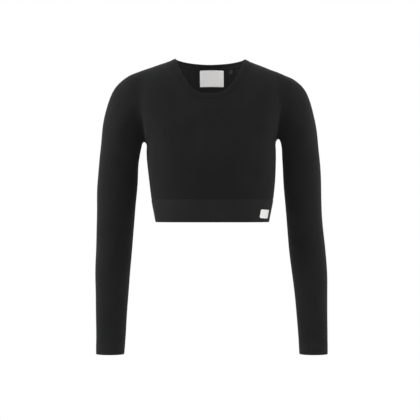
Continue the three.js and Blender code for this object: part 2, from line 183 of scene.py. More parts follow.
SHOULDER_FALL = table("across front back", [
    [0, 0.0158, 0.0092],
    [60, 0.0154, 0.0092],
    [90, 0.0125, 0.0092],
    [150, 0.0115, 0.0096],
    [215, 0.022, 0.021],
])
UNDERARM_BLEND = 14
SHOULDER_BLEND = 30

# The neck edge seen from above
NECK_CENTRE = -2.1
NECK_HALF = 74.8
NECK_FRONT = (81.2, 2.35)
NECK_BACK = (62.0, 2.0)

# Which way each arm lies, where its armhole starts above and below, and how far the armhole's
# middle is scooped towards the body
OUT = {"right": -1, "left": 1}
SHOULDER_POINT = {"right": -179, "left": 178}
UNDERARM_POINT = {"right": -144.0, "left": 144.9}
SCOOP_FRONT = 11
SCOOP_BACK = 8

RINGS = table("ring outer inner scoop", [
    [0, -38, -182, 1],
    [2, -64, -186, 0.75],
    [4, -98, -195, 0.4],
    [6, -145, -211, 0.12],
    [8, -200, -236, 0],
    [11, -294, -303, 0],
    [21, -610.5, -610.5, 0],
])


# The worn form: negative inside, zero on the outer face of the cloth

# Steps, rounds and limits of the searches on the form
GRADIENT_STEP = 0.2
SEAT_ROUNDS = 10
SEAT_MISS = 2e-4
LEAST_FALL = 0.05
REACH_ROUNDS = 300
REACH_STEP = 0.05
HALVINGS = 17
WALK_STEP = 3


def length(vectors):
    """The root of the sum of the squares of each vector's coordinates."""
    return np.sqrt((vectors * vectors).sum(-1))


def unit(vectors):
    """Each vector divided by its length."""
    return vectors / np.maximum(length(vectors), 1e-9)[..., None]


def dot(a, b):
    """The sum of the products of two vectors' coordinates."""
    return (a * b).sum(-1)


def soft_max(a, b, blend):
    """The larger of two values, raised by a parabola where they are closer than the blend, at
    most by a quarter of it."""
    near = np.maximum(blend - abs(a - b), 0) / blend
    return np.maximum(a, b) + near * near * blend / 4


def body_form(x, y, z):
    """Superellipse sections: the root of the summed powers of x over half width and y over
    depth, less one, times the smallest of these."""
    half = read(BODY["half"], z)
    front = read(BODY["front"], z)
    back = read(BODY["back"], z)
    power = read(BODY["power"], z)
    across = abs(x - read(BODY["centre"], z)) / half
    along = abs(y) / np.where(y < 0, front, back)
    mean = (across ** power + along ** power) ** (1 / power)
    return (mean - 1) * np.minimum(half, np.minimum(front, back))


def arm_form(side, x, y, z):
    """The same for ellipse sections between the arm's outer and inner line."""
    outer = read(ARMS[side + "_outer"], z)
    inner = read(ARMS[side + "_inner"], z)
    half = abs(outer - inner) / 2
    deep = read(ARMS["deep"], z)
    across = (x - (outer + inner) / 2) / half
    along = (y - read(ARMS["middle"], z)) / deep
    return (np.hypot(across, along) - 1) * np.minimum(half, deep)


def shoulder_form(x, y, z):
    """Height over the shoulder line, which falls as a parabola to front and back, over the
    steepness of that surface."""
    line = read(SHOULDERS["height"], x)
    slope = read(SHOULDERS["height"], x + 0.5) - read(SHOULDERS["height"], x - 0.5)
    front = read(SHOULDER_FALL["front"], abs(x))
    back = read(SHOULDER_FALL["back"], abs(x))
    fall = np.where(y < 0, front, back)
    steep = np.sqrt(1 + slope ** 2 + (2 * fall * y) ** 2)
    return (z - line + fall * y * y) / steep


def form(points):
    """Body and arms joined softly at the underarm, then cut softly by the shoulders."""
    x, y, z = points[..., 0], points[..., 1], points[..., 2]
    arms = np.minimum(arm_form("right", x, y, z), arm_form("left", x, y, z))
    below = -soft_max(-body_form(x, y, z), -arms, UNDERARM_BLEND)
    return soft_max(below, shoulder_form(x, y, z), SHOULDER_BLEND)


def gradient(points):
    """Central differences: the form's rise from a step behind to a step ahead, over both."""
    steps = np.eye(3) * GRADIENT_STEP
    rises = [form(points + step) - form(points - step) for step in steps]
    return np.stack(rises, axis=-1) / (2 * GRADIENT_STEP)


def outward(points):
    """The outward normal: the direction in which the form grows fastest."""
    return unit(gradient(points))


def seat(points, keep_depth=False):
    """Newton steps on to the form: back along the gradient by the value over its square.

    With keep_depth they stay in the plane of the seams.
    """
    for _ in range(SEAT_ROUNDS):
        value = form(points)
        if abs(value).max() < SEAT_MISS:
            break
        fall = gradient(points)
        if keep_depth:
            fall[..., 1] = 0
        step = -value / np.maximum(dot(fall, fall), LEAST_FALL)
        points = points + fall * step[..., None]
    return points


def reach(start, direction):
    """Goes along straight lines by half of the form's value, then halves the last step."""
    start, direction = np.broadcast_arrays(np.asarray(start, float), np.asarray(direction, float))
    inside = form(start) < 0
    near = np.zeros(start.shape[:-1])
    far = np.zeros(start.shape[:-1])
    for _ in range(REACH_ROUNDS):
        value = form(start + direction * far[..., None])
        going = (value < 0) == inside
        if not going.any():
            break
        near = np.where(going, far, near)
        far = np.where(going, far + np.maximum(REACH_STEP, abs(value) / 2), far)
    for _ in range(HALVINGS):
        middle = (near + far) / 2
        same = (form(start + direction * middle[..., None]) < 0) == inside
        near = np.where(same, middle, near)
        far = np.where(same, far, middle)
    return start + direction * ((near + far) / 2)[..., None]


def walk(points, heading, distance):
    """Short steps over the form, each turned into its tangent plane and seated again."""
    steps = max(1, math.ceil(distance / WALK_STEP))
    for _ in range(steps):
        normal = outward(points)
        along = unit(heading - normal * dot(heading, normal)[..., None])
        points = seat(points + along * (distance / steps))
    return points


# Curves on the form

# Chords that measure half a turn
TURN_CHORDS = 240


def signed_power(value, power):
    """The power of a value's size, with the value's sign."""
    return np.sign(value) * abs(value) ** power


def body_point(angle, height):
    """A superellipse in polar form: the radius is the summed powers of cosine and sine over
    their half widths, to minus one over the power."""
    half = read(BODY["half"], height)
    deep = np.where(np.sin(angle) < 0, read(BODY["front"], height), read(BODY["back"], height))
    power = read(BODY["power"], height)
    across = abs(np.cos(angle) / half) ** power
    along = abs(np.sin(angle) / deep) ** power
    radius = (across + along) ** (-1 / power)
    x = read(BODY["centre"], height) + radius * np.cos(angle)
    return np.stack([x, radius * np.sin(angle), height + 0 * x], axis=-1)


def neck_point(angle):
    """A superellipse seen from above, dropped on to the form: half width times cosine and
    depth times sine, each to two over the power."""
    in_front = np.sin(angle) < 0
    deep = np.where(in_front, NECK_FRONT[0], NECK_BACK[0])
    power = 2 / np.where(in_front, NECK_FRONT[1], NECK_BACK[1])
    x = NECK_CENTRE + NECK_HALF * signed_power(np.cos(angle), power)
    y = deep * signed_power(np.sin(angle), power)
    return reach(np.stack([x, y, ABOVE_ALL + 0 * x], axis=-1), -UP)


def spread(count, crowd):
    """Numbers from 0 to 1 that crowd at both ends: u less a share of sin(2 pi u)."""
    u = np.linspace(0, 1, count + 1)
    return u - crowd * np.sin(2 * np.pi * u) / (2 * np.pi)


def crowded_end(count, crowd):
    """Numbers from 0 to 1 that crowd at 1: the second half of such a spread, stretched."""
    return 2 * spread(2 * count, crowd)[count:] - 1


COLUMN_SHARES = spread(PANEL_COLUMNS, COLUMN_CROWD)
RING_TURNS = np.pi * spread(ARMHOLE_ROWS, ARMHOLE_CROWD)
SHOULDER_SHARES = crowded_end(SHOULDER_ROWS, SHOULDER_CROWD)[1:]


def even_angles(curve, start, stop):
    """Angles that cut a curve into the panel's shares of its length, summed over chords."""
    angles = np.linspace(start, stop, TURN_CHORDS + 1)
    chords = length(np.diff(curve(angles), axis=0))
    run = np.concatenate([[0], np.cumsum(chords)])
    return np.interp(COLUMN_SHARES * run[-1], run, angles)


def turn_of(curve):
    """A whole turn: from the wearer's right by the front to the left, and back."""
    front = even_angles(curve, np.pi, 2 * np.pi)
    back = even_angles(curve, 0, np.pi)
    return np.concatenate([front[:-1], back[:-1]])


def front_half(ring):
    """The part of a whole turn from the wearer's right to the left by the front."""
    return ring[:PANEL_COLUMNS + 1]


def back_half(ring):
    """The part of a whole turn from the wearer's right to the left by the back."""
    return np.concatenate([ring[:1], ring[PANEL_COLUMNS:][::-1]])


def neck_rows(distances):
    """Rows round the neck at these distances from the edge, each walked outwards from the last."""
    here = neck_point(turn_of(neck_point))
    rows = [here]
    for gone, wanted in zip(distances[:-1], distances[1:]):
        along = np.roll(here, -1, axis=0) - np.roll(here, 1, axis=0)
        away = unit(np.cross(along, outward(here)))
        here = walk(here, away, wanted - gone)
        rows.append(here)
    return np.stack(rows)


# An arm's middle: how far out it stays, and where and over how long it leaves the seams' plane
HEART_ACROSS = 165
HEART_IN_SEAM_PLANE = -230
HEART_BLEND = 120


def arm_heart(side, height):
    """The mean of the arm's outer and inner line, kept well out from the body."""
    middle = (read(ARMS[side + "_outer"], height) + read(ARMS[side + "_inner"], height)) / 2
    x = OUT[side] * np.maximum(abs(middle), HEART_ACROSS)
    return np.stack([x, 0 * x, height + 0 * x], axis=-1)


def sleeve_rings(side, outer_height, inner_height, scoop, low):
    """Rings of a sleeve: rays from the middle of an outer and an inner point meet the form.

    They turn by cosine and sine from that line to the front, and where a ring is scooped they
    start nearer to the body, by the sine squared. The first ring is the armhole.
    """
    out = OUT[side]
    outer = reach(arm_heart(side, outer_height), out * ACROSS)
    inner = reach(arm_heart(side, inner_height), -out * ACROSS)
    inner[0] = low
    heart = (outer + inner) / 2
    flat = np.clip((HEART_IN_SEAM_PLANE - inner_height) / HEART_BLEND, 0, 1)
    heart[:, 1] = read(ARMS["middle"], heart[:, 2]) * flat
    long = outer - inner
    long[:, 1] = 0
    long = unit(long)[:, None]
    bodyward = np.zeros_like(long)
    bodyward[..., 0] = -out * abs(long[..., 2])
    bodyward[..., 2] = out * long[..., 0] * np.sign(long[..., 2])
    turns = np.concatenate([RING_TURNS[:-1], RING_TURNS[:-1] + np.pi])
    towards = -long * np.cos(turns)[:, None] + TO_FRONT * np.sin(turns)[:, None]
    deepest = np.where(turns < np.pi, SCOOP_FRONT, SCOOP_BACK) * np.sin(turns) ** 2
    start = heart[:, None] + bodyward * (scoop[:, None] * deepest)[..., None]
    return reach(start, towards)


# Ring numbers: the last of the armhole and of all, and where the fit to the armhole's ends has
# faded out above and below. Then the heights between which the hem's rings take over.
ARMHOLE_RING = 2
LAST_RING = 21
OUTER_FADE = 4
INNER_FADE = 8
ARM_END = -594
ABOVE_HEM = -598


def sleeve_grid(side):
    """All rings of a sleeve, close together at the armhole and at the turned hem.

    The first ones move to meet the shoulder and the underarm, by an even fade.
    """
    at_armhole, down_arm, above_hem, on_hem = SLEEVE_ROWS
    top = reach(np.array([SHOULDER_POINT[side], 0, ABOVE_ALL]), -UP)
    low = reach(np.array([UNDERARM_POINT[side], 0, UNDERARM_START]), UP)
    first = np.linspace(0, ARMHOLE_RING, at_armhole + 1)
    ring = np.concatenate([first, np.linspace(ARMHOLE_RING, LAST_RING, down_arm + 1)[1:]])
    rise = top[2] - read(RINGS["outer"], 0)
    drop = low[2] - read(RINGS["inner"], 0)
    outer = read(RINGS["outer"], ring) + rise * np.maximum(0, 1 - ring / OUTER_FADE)
    inner = read(RINGS["inner"], ring) + drop * np.maximum(0, 1 - ring / INNER_FADE)
    scoop = read(RINGS["scoop"], ring)
    cuff = np.linspace(CUFF_HEM, CUFF_EDGE, on_hem + 1)
    above = np.linspace(ABOVE_HEM, CUFF_HEM, above_hem + 1)[:-1]
    kept = outer > ARM_END
    outer = np.concatenate([outer[kept], above, cuff])
    inner = np.concatenate([inner[kept], above, cuff])
    scoop = np.concatenate([scoop[kept], 0 * above, 0 * cuff])
    return sleeve_rings(side, outer, inner, scoop, low)


def seam(start, stop, shares):
    """A straight line between two points, seated on the form in the plane of the seams."""
    line = start + (stop - start) * shares[:, None]
    return seat(line, keep_depth=True)


def panel_edge(hem_end, armhole, neck_end):
    """Side seam, armhole and shoulder seam in one line."""
    side = seam(hem_end, armhole[0], np.linspace(0, 1, SIDE_ROWS + 1)[:-1])
    shoulder = seam(armhole[-1], neck_end, SHOULDER_SHARES)
    side[0] = hem_end
    shoulder[-1] = neck_end
    return np.concatenate([side, armhole, shoulder])


def panel_grid(bottom, top, right, left):
    """A Coons patch: straight rows between the two side lines, with the bulge of the bottom
    edge fading upwards and that of the top edge fading downwards, all seated on the form."""
    side, armhole, shoulder = FRAME_ROWS
    up = np.concatenate([
        np.linspace(0, side, SIDE_ROWS + 1)[:-1],
        side + armhole * RING_TURNS / np.pi,
        side + armhole + shoulder * SHOULDER_SHARES,
    ])[:, None, None] / sum(FRAME_ROWS)
    over = COLUMN_SHARES[None, :, None]
    rows = right[:, None] + (left - right)[:, None] * over

    def bulge(line):
        """A line less the straight one between its ends."""
        return line - (line[0] + (line[-1] - line[0]) * over[0])

    grid = seat(rows + bulge(bottom) * (1 - up) + bulge(top) * up)
    grid[0] = bottom
    grid[-1] = top
    grid[:, 0] = right
    grid[:, -1] = left
    return grid


# Creases: soft troughs and ridges, laid one by one

def bell(distance, centre, half_width):
    """One at the centre, and falls as e to minus the square of distance over half width."""
    return np.exp(-((distance - centre) / half_width) ** 2)


# A crease's start, middle and end as across and height, its half width, its depth, negative
# for a trough, and the share of its length at which it is deepest
FRONT_CREASES = [
    (-144, -184, -147, -160, -148, -128, 7, -1.7, 0.1),
    (-136, -196, -135, -164, -138, -132, 9, 1.9, 0.3),
    (144, -182, 146, -158, 146, -124, 7, -1.6, 0.1),
    (136, -192, 136, -164, 138, -134, 9, 1.6, 0.3),
    (-92, -132, -90, -165, -86, -206, 19, 0.9, 0.5),
    (-36, -130, -34, -166, -36, -212, 13, -2.2, 0.5),
    (-60, -108, -58, -150, -55, -200, 12, 2.1, 0.5),
    (62, -84, 58, -130, 54, -190, 23, 2.2, 0.5),
    (4, -96, 4, -140, 0, -196, 17, -1.7, 0.5),
    (92, -134, 98, -168, 94, -206, 12, -1.6, 0.5),
    (74, -232, 80, -260, 74, -290, 14, -1.8, 0.5),
    (-118, -196, -96, -212, -66, -218, 10, -0.8, 0.3),
    (122, -192, 100, -210, 74, -220, 10, -0.7, 0.3),
    (-24, -246, -8, -262, 14, -266, 12, -0.7, 0.5),
    (-122, -258, -110, -274, -90, -284, 9, -0.8, 0.3),
    (126, -256, 114, -272, 96, -282, 9, -0.7, 0.3),
    (-160, -192, -178, -178, -194, -158, 8, -1.2, 0.2),
    (162, -190, 176, -174, 192, -156, 8, -1.1, 0.2),
    (-162, -208, -184, -214, -208, -212, 9, -0.9, 0.4),
    (162, -212, 180, -220, 204, -218, 9, -0.9, 0.4),
    (162, -238, 180, -245, 206, -241, 7, -1.3, 0.4),
    (-166, -300, -184, -310, -206, -306, 9, -1.0, 0.4),
    (-172, -356, -190, -366, -214, -364, 9, -1.2, 0.4),
    (-176, -386, -192, -392, -216, -384, 9, -1.4, 0.4),
    (-178, -416, -192, -424, -212, -426, 9, -1.0, 0.4),
    (170, -348, 190, -360, 214, -358, 9, -1.2, 0.4),
    (174, -378, 192, -386, 218, -380, 9, -1.4, 0.4),
    (176, -410, 190, -418, 210, -420, 9, -1.0, 0.4),
    (-188, -548, -206, -558, -228, -554, 7, -1.0, 0.5),
    (-190, -566, -208, -574, -234, -566, 7, -1.2, 0.6),
    (-188, -590, -206, -596, -232, -588, 6, -1.7, 0.4),
    (192, -544, 208, -554, 230, -550, 7, -1.0, 0.5),
    (194, -564, 212, -572, 238, -564, 7, -1.2, 0.6),
    (192, -588, 210, -595, 238, -590, 6, -1.4, 0.4),
]
BACK_CREASES = [
    (-140, -188, -128, -168, -112, -146, 9, -1.8, 0.1),
    (141, -186, 127, -166, 106, -148, 9, -1.7, 0.1),
    (-118, -206, -84, -222, -44, -226, 13, -1.2, 0.3),
    (116, -212, 80, -226, 38, -232, 14, -1.1, 0.3),
    (-34, -96, -28, -130, -32, -168, 18, -1.3, 0.5),
    (38, -104, 44, -138, 36, -172, 17, -1.2, 0.5),
    (4, -110, 6, -160, 2, -230, 22, 1.2, 0.5),
    (-122, -256, -104, -272, -78, -280, 10, -0.9, 0.3),
    (124, -262, 104, -278, 74, -284, 10, -0.8, 0.3),
    (-172, -362, -196, -370, -224, -362, 10, -1.3, 0.5),
    (-176, -398, -198, -402, -228, -392, 10, -1.3, 0.5),
    (172, -356, 194, -366, 222, -358, 10, -1.3, 0.5),
    (176, -392, 196, -398, 226, -388, 10, -1.3, 0.5),
    (-190, -560, -212, -568, -236, -560, 7, -1.1, 0.5),
    (-192, -584, -214, -590, -236, -584, 6, -1.0, 0.5),
    (194, -556, 216, -564, 240, -556, 7, -1.1, 0.5),
    (194, -582, 216, -588, 240, -582, 6, -1.0, 0.5),
]
CREASES = FRONT_CREASES + BACK_CREASES

# Places along a crease, a start well clear of the cloth, the heights of the two waves, and the
# share of a crease's depth that is left at its ends
CREASE_STEPS = 9
FAR_OFF = 400.0
SLOW_WAVE = 0.22
SHORT_WAVE = 0.2
CREASE_END = 0.1


def crease_lines():
    """For each crease the parabola that meets its places at shares 0, 1/2 and 1, dropped on to
    the form."""
    shares = np.linspace(0, 1, CREASE_STEPS)
    weights = np.stack([
        (1 - shares) * (1 - 2 * shares),
        4 * shares * (1 - shares),
        shares * (2 * shares - 1),
    ])
    places = np.array(CREASES)[:, :6]
    side = np.repeat([[-1], [1]], [len(FRONT_CREASES), len(BACK_CREASES)], axis=0)
    x = places[:, 0::2] @ weights
    z = places[:, 1::2] @ weights
    start = np.stack([x, side * FAR_OFF + 0 * x, z], axis=-1)
    return reach(start, side[..., None] * TO_FRONT)


CREASE_LINES = crease_lines()


def relief(points):
    """How far the cloth stands off the form: two waves of crossed sines, and for each crease a
    bell across it that fades as a sine from its deepest place to its ends."""
    x, y, z = points[..., 0], points[..., 1], points[..., 2]
    height = SLOW_WAVE * np.sin(x / 17 + z / 31 + 1.3) * np.sin(z / 23 - y / 19 + 0.4)
    height = height + SHORT_WAVE * np.sin(x / 9.5 - y / 13 + z / 41) * np.sin(z / 37 + x / 53)
    for line, crease in zip(CREASE_LINES, CREASES):
        half_width, depth, peak = crease[-3:]
        middle = line[CREASE_STEPS // 2]
        reach_out = length(line - middle).max() + 3 * half_width
        near = length(points - middle) < reach_out
        close = points[near]
        best = np.full(len(close), 1e9)
        place = np.zeros(len(close))
        for i in range(CREASE_STEPS - 1):
            chord = line[i + 1] - line[i]
            share = np.clip(dot(close - line[i], chord) / dot(chord, chord), 0, 1)
            away = length(close - line[i] - chord * share[:, None])
            nearer = away < best
            best = np.where(nearer, away, best)
            place = np.where(nearer, (i + share) / (CREASE_STEPS - 1), place)
        fade = np.sin(np.pi / 2 * np.minimum(place / peak, (1 - place) / (1 - peak)))
        fade = CREASE_END + (1 - CREASE_END) * fade
        height[near] += depth * bell(best, 0, half_width) * fade
    return height


# Seams and stitches pressed into the cloth: rows of height, place from the seam and half width

SEAM_LINES = [(0.14, 4.6, 2.8), (-0.22, 0, 1.0)]
NECK_SEAM_LINES = [(0.2, sum(NECK_STITCH_ROWS) / 2, 4.4), (-0.25, 0, 0.9)]
NECK_SEAM_LINES += [(-0.13, row, 0.6) for row in NECK_STITCH_ROWS]
CUFF_LINES = [(-0.22, row, 0.7) for row in CUFF_STITCH_ROWS]
NECKBAND_LINES = [(-0.25, 0, 1.2)]
HEM_BAND_LINES = [(-0.6, 0, 1.4)]
HEM_FOLD_LINES = [(-0.4, 0, 2.2)]
PLATE_EDGE_LINES = [(-0.12, 0, 0.8)]


def pressed(distance, lines):
    """The sum of a bell for each line, at a distance from the seam or edge."""
    return sum(height * bell(distance, place, wide) for height, place, wide in lines)


def step_up(distance, wide):
    """A smooth step from 0 to 1, one over one plus e to minus the distance over its width."""
    return 1 / (1 + np.exp(-distance / wide))


def run_along(grid, axis):
    """Distance along a grid from its first line, as the sum of its chords."""
    chords = length(np.diff(grid, axis=axis))
    start = np.zeros_like(np.take(chords, [0], axis=axis))
    return np.concatenate([start, np.cumsum(chords, axis=axis)], axis=axis)


def from_both_ends(across):
    """The smaller of the distances to the two ends of each row."""
    return np.minimum(across, across[:, -1:] - across)


def closed(grid):
    """A grid of rings with its first column set again at its end."""
    return np.concatenate([grid, grid[:, :1]], axis=1)


def ring_runs(grid):
    """Distances round and down a grid of rings."""
    return run_along(closed(grid), 1), run_along(grid, 0)


# Meshes

def make_mesh(name, points, faces, grain, corners, sharp=50, inside=None):
    """A closed mesh from points in millimetres, with the grain of the cloth as its UV map.

    Faces that are marked as inside take the piece's second finish.
    """
    a, b, c, d = (points[faces[:, i]] for i in range(4))
    volume = (dot(a, np.cross(b, c)) + dot(a, np.cross(c, d))).sum()
    if volume < 0:
        faces = faces[:, ::-1]
        corners = corners[:, ::-1]
    mesh = bpy.data.meshes.new(name)
    mesh.from_pydata((points / 1000).tolist(), [], faces.tolist())
    uv = mesh.uv_layers.new(name="grain")
    uv.data.foreach_set("uv", (grain[corners] / 1000).ravel())
    mesh.polygons.foreach_set("use_smooth", np.ones(len(faces), bool))
    if inside is not None:
        mesh.polygons.foreach_set("material_index", inside.astype(np.int32))
    mesh.set_sharp_from_angle(angle=math.radians(sharp))
    mesh.update()
    piece = bpy.data.objects.new(name, mesh)
    bpy.context.scene.collection.objects.link(piece)
    return piece


def numbered(grid):
    """The number of each point of a grid, in its place."""
    return np.arange(grid[..., 0].size).reshape(grid.shape[:2])


def cells(index):
    """The four corners of every cell of a grid of numbers."""
    corners = [index[:-1, :-1], index[:-1, 1:], index[1:, 1:], index[1:, :-1]]
    return np.stack(corners, axis=-1).reshape(-1, 4)


# The angles of a half round's rows
HALF_ROUND = np.radians([45, 90, 135])


def half_round(start, stop, beyond, roundness):
    """Rows from one line of points to another, bulging beyond them: their middle, plus half
    their distance times the cosine, plus the bulge times the sine."""
    middle = (start + stop) / 2
    radius = (start - stop) / 2
    bulge = unit(beyond) * length(radius)[:, None] * roundness
    return np.stack([middle + radius * np.cos(a) + bulge * np.sin(a) for a in HALF_ROUND])


def tube_piece(name, outer, inner, grain, rims):
    """A hollow tube: outer rows, a half round, inner rows back, and a half round again."""
    points = np.concatenate([
        outer,
        half_round(outer[-1], inner[-1], outer[-1] - outer[-2], rims[1]),
        inner[::-1],
        half_round(inner[0], outer[0], outer[0] - outer[1], rims[0]),
    ])
    turns = len(HALF_ROUND)
    last = np.repeat(grain[-1:], turns, axis=0)
    first = np.repeat(grain[:1], turns + 1, axis=0)
    uv = np.concatenate([grain, last, grain[::-1], first])
    index = numbered(points)
    row = np.repeat(np.arange(len(index)), len(index[0]))
    inside = (row > len(outer)) & (row < len(index) - 1)
    faces = cells(closed(np.concatenate([index, index[:1]])))
    points = points.reshape(-1, 3)
    grain = uv.reshape(-1, 2)
    return make_mesh(name, points, faces, grain, cells(numbered(uv)), inside=inside)


def sheet_piece(name, outer, inner, grain, sharp=50):
    """A sheet with four edges: an outer grid, an inner grid, and a wall round the edges."""
    index = numbered(outer)
    count = index.size
    top = cells(index)
    walls = []
    for line in (index[0][::-1], index[:, 0], index[-1], index[:, -1][::-1]):
        walls.append(np.stack([line[:-1], line[1:], line[1:] + count, line[:-1] + count], axis=-1))
    faces = np.concatenate([top, top[:, ::-1] + count] + walls)
    points = np.concatenate([outer.reshape(-1, 3), inner.reshape(-1, 3)])
    flat = grain.reshape(-1, 2)
    inside = np.arange(len(faces)) // len(top) == 1
    return make_mesh(name, points, faces, np.concatenate([flat, flat]), faces, sharp, inside)


def drawn_in(grid, columns_too):
    """The edges of a grid moved in by a hair, so that neighbouring pieces don't share faces."""
    grid = grid.copy()
    for lines in [grid, grid.swapaxes(0, 1)][:1 + columns_too]:
        for edge, beside in ((0, 1), (-1, -2)):
            lines[edge] += unit(lines[beside] - lines[edge]) * SEAM_INSET
    return grid


def two_faces(grid, columns_too, height, thick):
    """The form plus its normal times a height, and times that less a thickness."""
    base = drawn_in(grid, columns_too)
    normal = outward(base)
    return base + normal * height[..., None], base + normal * (height - thick)[..., None]


def ring_piece(name, grid, height, thick, rims):
    """A tube of cloth round a grid of rings, with its grain round it and down it."""
    around, down = ring_runs(grid)
    grain = np.stack([around, closed(-down)], axis=-1)
    return tube_piece(name, *two_faces(grid, False, height, thick), grain, rims)


# The cloth pieces

def panel_piece(name, grid):
    """A panel, at the height of its creases and of its pressed seams."""
    across = run_along(grid, 1)
    up = run_along(grid, 0)
    height = relief(grid)
    height += pressed(from_both_ends(across), SEAM_LINES) + pressed(up, SEAM_LINES)
    height += pressed(up[-1:] - up, NECK_SEAM_LINES)
    grain = np.stack([across - across[:, PANEL_COLUMNS // 2, None], up], axis=-1)
    return sheet_piece(name, *two_faces(grid, True, height, CLOTH), grain)


# How deep a sleeve's own seam is, how the turned hem steps up, and how round the edges are
SLEEVE_SEAM_SHARE = 0.7
TURNED_RISE = 0.28
TURNED_ABOVE = 1
TURNED_STEP = 0.8
SLEEVE_RIMS = (0.3, 1.0)
NECKBAND_RIMS = (1.0, 0.5)
HEM_BAND_RIMS = (0.5, 1.0)


def sleeve_piece(name, grid):
    """A sleeve with a seam from the underarm to the cuff and a turned, stitched hem.

    The turned hem is a smooth step in the height and in the thickness of the cloth.
    """
    around, down = ring_runs(grid)
    height = relief(grid) + pressed(down, SEAM_LINES)
    height += SLEEVE_SEAM_SHARE * pressed(from_both_ends(around)[:, :-1], SEAM_LINES)
    z = grid[..., 2]
    turned = step_up(CUFF_STITCH_ROWS[1] + TURNED_ABOVE - z, TURNED_STEP)
    height += TURNED_RISE * turned + pressed(z, CUFF_LINES)
    thick = CLOTH + (TURNED_HEM - CLOTH) * turned
    return ring_piece(name, grid, height, thick, SLEEVE_RIMS)


# The bands: how high they roll, how deep they are sunk and how high they ripple at the seam
NECKBAND_CROWN = 0.5
NECKBAND_SUNK = 0.4
NECKBAND_RIPPLE = 0.12
HEM_BAND_GATHER = 0.16


def neckband_piece(rows):
    """The neckband: its seam is at the last row, its fold at the first.

    It rolls as a sine to the power 0.7, and ripples as a sine round it, near the seam.
    """
    around, down = ring_runs(rows)
    from_seam = down[-1:] - down
    roll = np.sin(np.pi * np.clip(from_seam / NECKBAND_WIDE, 0, 1)) ** 0.7
    height = BAND_PROUD - NECKBAND_SUNK + relief(rows) + NECKBAND_CROWN * roll
    height += pressed(from_seam, NECKBAND_LINES)
    height += NECKBAND_RIPPLE * np.sin(around[:, :-1] / 4.7) * bell(from_seam, 3, 3)
    return ring_piece("neckband_cloth", rows, height, BAND_THICK, NECKBAND_RIMS)


def hem_band_piece(rows):
    """The hem band: its seam is at the first row, its fold at the last.

    It is gathered a little near the seam, as a sine whose pitch wanders with another sine.
    """
    around, down = ring_runs(rows)
    around = around[:, :-1]
    height = BAND_PROUD + relief(rows)
    height += pressed(down, HEM_BAND_LINES) + pressed(down.max() - down, HEM_FOLD_LINES)
    height += HEM_BAND_GATHER * np.sin(around / 5.3 + np.sin(around / 31)) * bell(down, 3, 5)
    return ring_piece("hem_band_cloth", rows, height, BAND_THICK, HEM_BAND_RIMS)


# Labels and tags

# Steps of a plate's walk down and to each side, and its turned ends: how long and how soft
STEPS_DOWN = 12
STEPS_ASIDE = 8
LABEL_TURN_IN = 5.5
LABEL_TURN_STEP = 0.35


def laid_grid(top_middle, wide, high, turn, columns, rows, corner=0.0):
    """A plate that lies along the form: walked down its middle and out to both sides, and read
    between those steps as the weighed mean of the four nearest.

    With a corner radius, the square corners are drawn in on to quarter circles.
    """
    steps_across = 2 * STEPS_ASIDE
    normal = outward(top_middle)
    down = np.array([math.sin(turn), 0, -math.cos(turn)])
    down = unit(down - normal * dot(down, normal))
    sideways = unit(np.cross(normal, down))
    if sideways[0] < 0:
        sideways = -sideways
    middle = [top_middle]
    for _ in range(STEPS_DOWN):
        middle.append(walk(middle[-1], down, high / STEPS_DOWN))
    lines = {0: np.stack(middle)}
    for step in range(1, STEPS_ASIDE + 1):
        lines[step] = walk(lines[step - 1], sideways, wide / steps_across)
        lines[-step] = walk(lines[1 - step], -sideways, wide / steps_across)
    coarse = np.stack([lines[step] for step in range(-STEPS_ASIDE, STEPS_ASIDE + 1)], axis=1)
    x, y = np.meshgrid(np.linspace(-0.5, 0.5, columns + 1) * wide,
                       np.linspace(-0.5, 0.5, rows + 1) * high)
    if corner:
        over_x = np.maximum(abs(x) - (wide / 2 - corner), 0)
        over_y = np.maximum(abs(y) - (high / 2 - corner), 0)
        both = np.maximum(np.hypot(over_x, over_y), 1e-9)
        keep = np.maximum(over_x, over_y) / both
        x = x - np.sign(x) * over_x * (1 - keep)
        y = y - np.sign(y) * over_y * (1 - keep)
    column = (x / wide + 0.5) * steps_across
    row = (y / high + 0.5) * STEPS_DOWN
    c = np.clip(column.astype(int), 0, steps_across - 1)
    r = np.clip(row.astype(int), 0, STEPS_DOWN - 1)
    u = (column - c)[..., None]
    v = (row - r)[..., None]
    upper = coarse[r, c] * (1 - u) + coarse[r, c + 1] * u
    lower = coarse[r + 1, c] * (1 - u) + coarse[r + 1, c + 1] * u
    return seat(upper * (1 - v) + lower * v), np.stack([x, y], axis=-1)


def laid_piece(name, grid, grain, near, far, folds=0.0):
    """A thin plate between a near and a far height over the form. The far face takes a smooth
    step out over turned ends, and is pressed at the very edge."""
    normal = outward(grid)
    lift = relief(grid)[..., None]
    x = abs(grain[..., 0])
    rise = folds * step_up(x - x.max() + LABEL_TURN_IN, LABEL_TURN_STEP)
    face = far + np.sign(far) * rise + pressed(x.max() - x, PLATE_EDGE_LINES)
    outer = grid + normal * (lift + face[..., None])
    inner = grid + normal * (lift + near)
    return sheet_piece(name, outer, inner, grain, sharp=60)


# Stitches

# A thread's sides, its rings as place and radius, and how far off its direction is taken
THREAD_SIDES = 6
THREAD_RINGS = np.array([[-1.0, 0.35], [-0.72, 0.85], [0.0, 1.0], [0.72, 0.85], [1.0, 0.35]])
THREAD_AHEAD = 0.8


def read_line(at, run, points):
    """A line of points, each coordinate read in a straight line at a place along it."""
    return np.stack([np.interp(at, run, values) for values in points.T], axis=-1)


